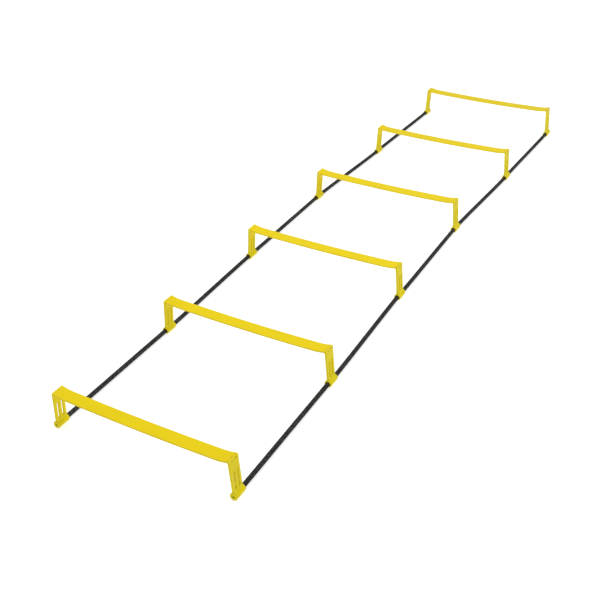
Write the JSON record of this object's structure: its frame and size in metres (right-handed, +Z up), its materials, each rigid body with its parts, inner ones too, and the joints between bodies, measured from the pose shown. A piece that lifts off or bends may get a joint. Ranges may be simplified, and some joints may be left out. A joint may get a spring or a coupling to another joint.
{
  "type": "agility ladder",
  "caption": "Low folding hurdles strung on two side cords, for stepping and jumping drills.",
  "frame": {"origin": "On the floor, under the middle of the box round the whole ladder.", "axes": "+Z up, +Y along the ladder from the hurdle nearest the viewer, +X along the crossbars to the viewer's right."},
  "size_m": [0.557, 2.2874, 0.1083],
  "materials": {
    "crossbar_plastic": "smooth moulded, half gloss",
    "leg_plastic": "smooth moulded, half gloss",
    "pin_steel": "plain drawn steel",
    "cord_braid": "tight braid, matt",
    "screw_steel": "blackened"
  },
  "bodies": {
    "crossbars": {"crossbar_1": "crossbar_plastic", "crossbar_2": "crossbar_plastic", "crossbar_3": "crossbar_plastic", "crossbar_4": "crossbar_plastic", "crossbar_5": "crossbar_plastic", "crossbar_6": "crossbar_plastic", "hinge_pin_left_1": "pin_steel", "hinge_pin_left_2": "pin_steel", "hinge_pin_left_3": "pin_steel", "hinge_pin_left_4": "pin_steel", "hinge_pin_left_5": "pin_steel", "hinge_pin_left_6": "pin_steel", "hinge_pin_right_1": "pin_steel", "hinge_pin_right_2": "pin_steel", "hinge_pin_right_3": "pin_steel", "hinge_pin_right_4": "pin_steel", "hinge_pin_right_5": "pin_steel", "hinge_pin_right_6": "pin_steel"},
    "leg_left_1": {"leg_left_1": "leg_plastic"},
    "leg_left_2": {"leg_left_2": "leg_plastic"},
    "leg_left_3": {"leg_left_3": "leg_plastic"},
    "leg_left_4": {"leg_left_4": "leg_plastic"},
    "leg_left_5": {"leg_left_5": "leg_plastic"},
    "leg_left_6": {"leg_left_6": "leg_plastic"},
    "leg_right_1": {"leg_right_1": "leg_plastic"},
    "leg_right_2": {"leg_right_2": "leg_plastic"},
    "leg_right_3": {"leg_right_3": "leg_plastic"},
    "leg_right_4": {"leg_right_4": "leg_plastic"},
    "leg_right_5": {"leg_right_5": "leg_plastic"},
    "leg_right_6": {"leg_right_6": "leg_plastic"},
    "cord_left": {"side_cord_left": "cord_braid", "cord_screw_left_front": "screw_steel", "cord_screw_left_back": "screw_steel"},
    "cord_right": {"side_cord_right": "cord_braid", "cord_screw_right_front": "screw_steel", "cord_screw_right_back": "screw_steel"}
  },
  "joints": [
    {"name": "left_fold_1", "type": "hinge", "parent": "crossbars", "child": "leg_left_1", "pos_m": [-0.2379, -1.125, 0.1055], "axis": [0, 1, 0], "range_deg": [0, 84]},
    {"name": "left_fold_2", "type": "hinge", "parent": "crossbars", "child": "leg_left_2", "pos_m": [-0.2427, -0.67768, 0.1055], "axis": [0, 1, 0], "range_deg": [0, 84]},
    {"name": "left_fold_3", "type": "hinge", "parent": "crossbars", "child": "leg_left_3", "pos_m": [-0.2559, -0.22548, 0.1055], "axis": [0, 1, 0], "range_deg": [0, 84]},
    {"name": "left_fold_4", "type": "hinge", "parent": "crossbars", "child": "leg_left_4", "pos_m": [-0.2622, 0.229, 0.1055], "axis": [0, 1, 0], "range_deg": [0, 84]},
    {"name": "left_fold_5", "type": "hinge", "parent": "crossbars", "child": "leg_left_5", "pos_m": [-0.24375, 0.6744, 0.1055], "axis": [0, 1, 0], "range_deg": [0, 84]},
    {"name": "left_fold_6", "type": "hinge", "parent": "crossbars", "child": "leg_left_6", "pos_m": [-0.2322, 1.125, 0.1055], "axis": [0, 1, 0], "range_deg": [0, 84]},
    {"name": "left_cord_turn", "type": "hinge", "parent": "leg_left_1", "child": "cord_left", "pos_m": [-0.24463, -1.125, 0.0092], "axis": [0, 1, 0], "range_deg": [-84, 0]},
    {"name": "right_fold_1", "type": "hinge", "parent": "crossbars", "child": "leg_right_1", "pos_m": [0.2565, -1.125, 0.1055], "axis": [0, -1, 0], "range_deg": [0, 84]},
    {"name": "right_fold_2", "type": "hinge", "parent": "crossbars", "child": "leg_right_2", "pos_m": [0.2517, -0.67768, 0.1055], "axis": [0, -1, 0], "range_deg": [0, 84]},
    {"name": "right_fold_3", "type": "hinge", "parent": "crossbars", "child": "leg_right_3", "pos_m": [0.2385, -0.22548, 0.1055], "axis": [0, -1, 0], "range_deg": [0, 84]},
    {"name": "right_fold_4", "type": "hinge", "parent": "crossbars", "child": "leg_right_4", "pos_m": [0.2322, 0.229, 0.1055], "axis": [0, -1, 0], "range_deg": [0, 84]},
    {"name": "right_fold_5", "type": "hinge", "parent": "crossbars", "child": "leg_right_5", "pos_m": [0.25065, 0.6744, 0.1055], "axis": [0, -1, 0], "range_deg": [0, 84]},
    {"name": "right_fold_6", "type": "hinge", "parent": "crossbars", "child": "leg_right_6", "pos_m": [0.2622, 1.125, 0.1055], "axis": [0, -1, 0], "range_deg": [0, 84]},
    {"name": "right_cord_turn", "type": "hinge", "parent": "leg_right_1", "child": "cord_right", "pos_m": [0.26323, -1.125, 0.0092], "axis": [0, -1, 0], "range_deg": [-84, 0]}
  ],
  "couplings": [
    {"joint": "left_fold_2", "follows": "left_fold_1", "ratio": 1},
    {"joint": "left_fold_3", "follows": "left_fold_1", "ratio": 1},
    {"joint": "left_fold_4", "follows": "left_fold_1", "ratio": 1},
    {"joint": "left_fold_5", "follows": "left_fold_1", "ratio": 1},
    {"joint": "left_fold_6", "follows": "left_fold_1", "ratio": 1},
    {"joint": "left_cord_turn", "follows": "left_fold_1", "ratio": -1},
    {"joint": "right_fold_2", "follows": "right_fold_1", "ratio": 1},
    {"joint": "right_fold_3", "follows": "right_fold_1", "ratio": 1},
    {"joint": "right_fold_4", "follows": "right_fold_1", "ratio": 1},
    {"joint": "right_fold_5", "follows": "right_fold_1", "ratio": 1},
    {"joint": "right_fold_6", "follows": "right_fold_1", "ratio": 1},
    {"joint": "right_cord_turn", "follows": "right_fold_1", "ratio": -1}
  ]
}
